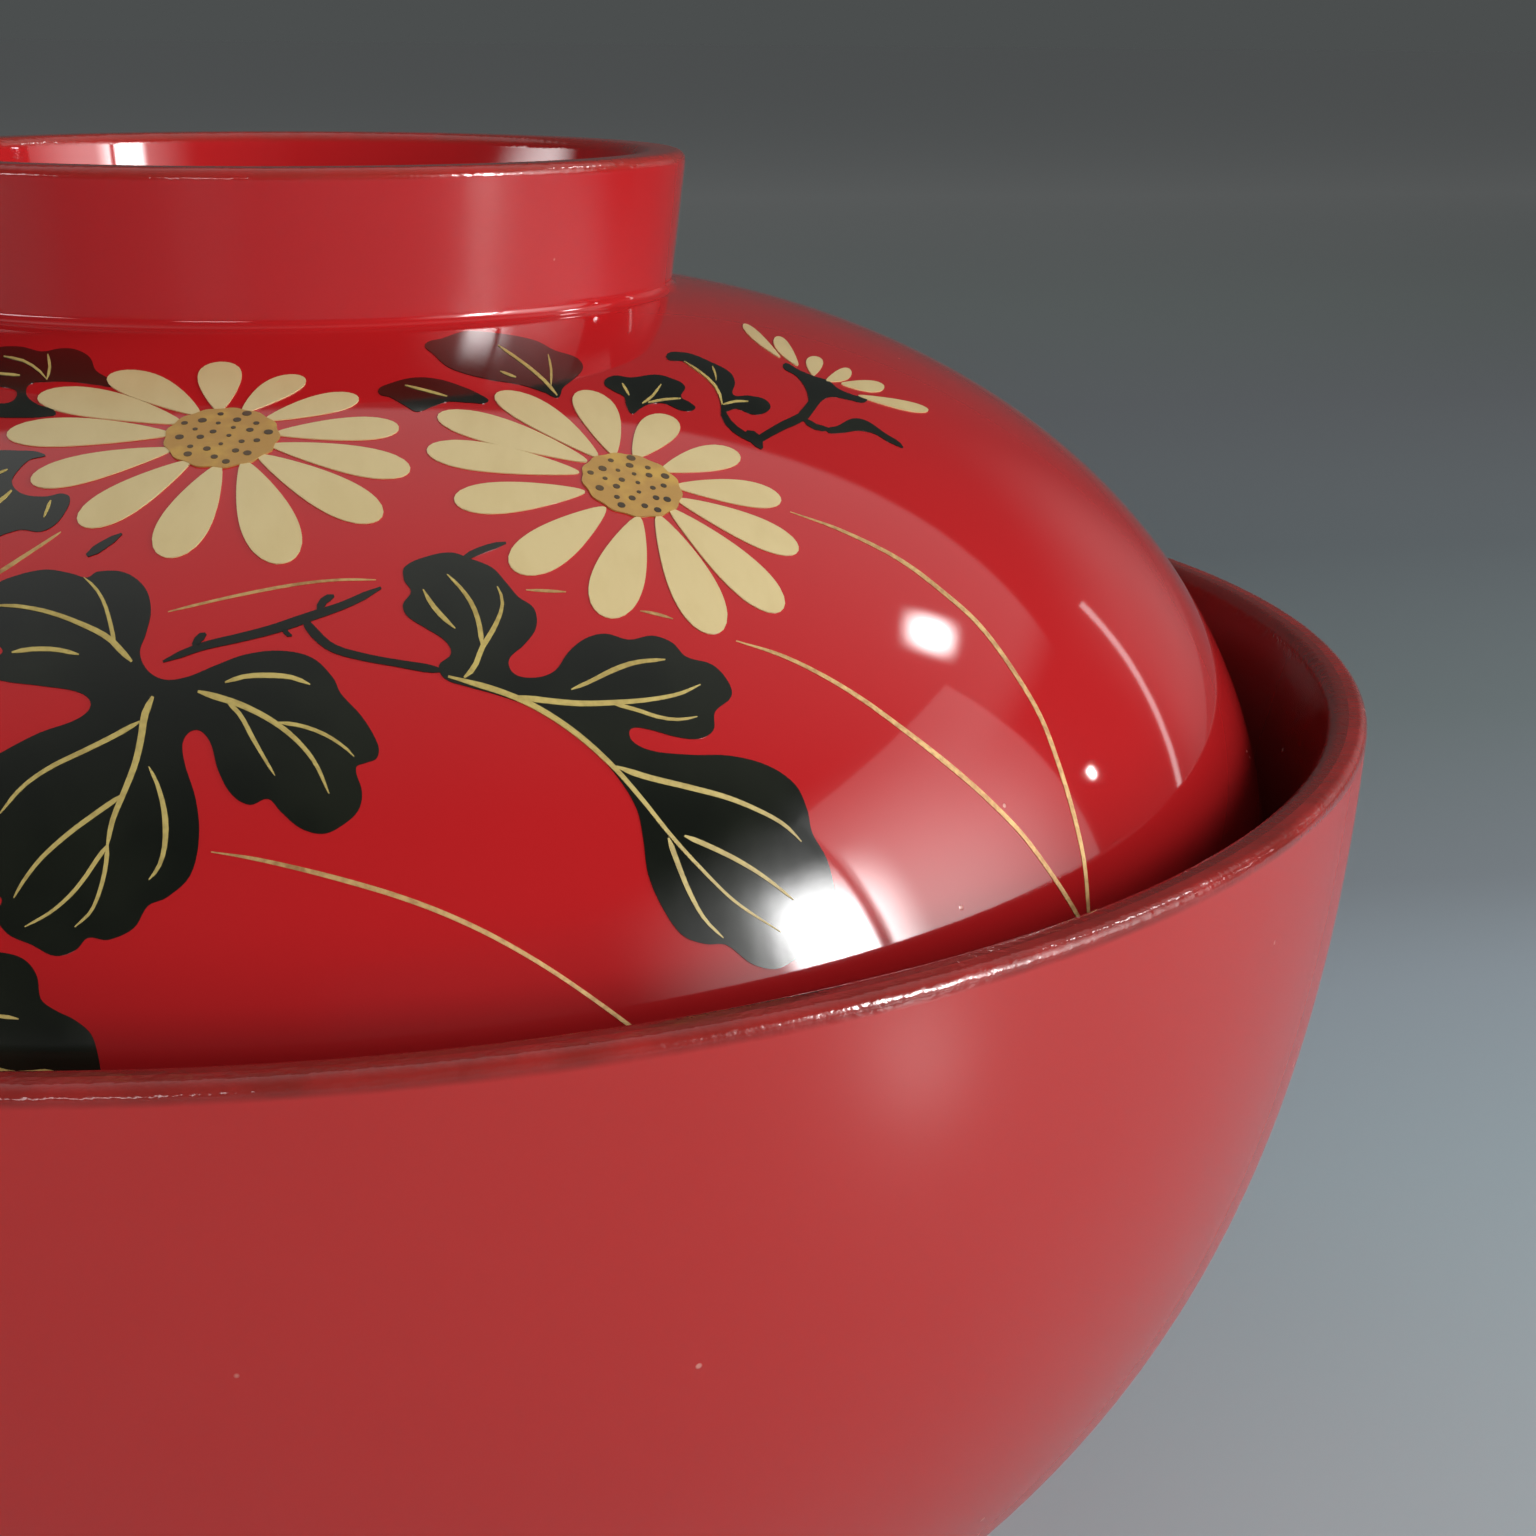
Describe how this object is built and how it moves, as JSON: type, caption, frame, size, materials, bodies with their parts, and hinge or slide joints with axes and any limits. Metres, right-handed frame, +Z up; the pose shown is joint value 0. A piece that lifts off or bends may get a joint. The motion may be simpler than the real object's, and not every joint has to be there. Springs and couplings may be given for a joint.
{
  "type": "lidded soup bowl",
  "caption": "Round lacquered wooden soup bowl on a foot ring, with a domed lid that drops inside its mouth and lifts off by a grip ring.",
  "frame": {"origin": "centre of the bowl's foot, on the plane of its land, where the bowl stands", "axes": "+Z up along the turning axis, -Y towards the viewer of the picture, +X to the viewer's right"},
  "size_m": [0.122, 0.122, 0.0944],
  "materials": {
    "red_lacquer": "high gloss red lacquer",
    "turned_wood": "turned and sealed",
    "cream_lacquer": "satin painted lacquer",
    "black_lacquer": "gloss painted lacquer",
    "gold_line": "fine gold powder line"
  },
  "bodies": {
    "bowl": {"bowl_core": "turned_wood", "bowl_outer_coat": "red_lacquer", "bowl_inner_coat": "red_lacquer", "bowl_underside_coat": "red_lacquer"},
    "lid": {"lid_core": "turned_wood", "lid_outer_coat": "red_lacquer", "lid_inner_coat": "red_lacquer", "lid_recess_coat": "red_lacquer"}
  },
  "joints": [
    {"name": "lid_lift", "type": "slide", "parent": "bowl", "child": "lid", "axis": [0, 0, 1], "range_m": [0, 0.06]}
  ]
}
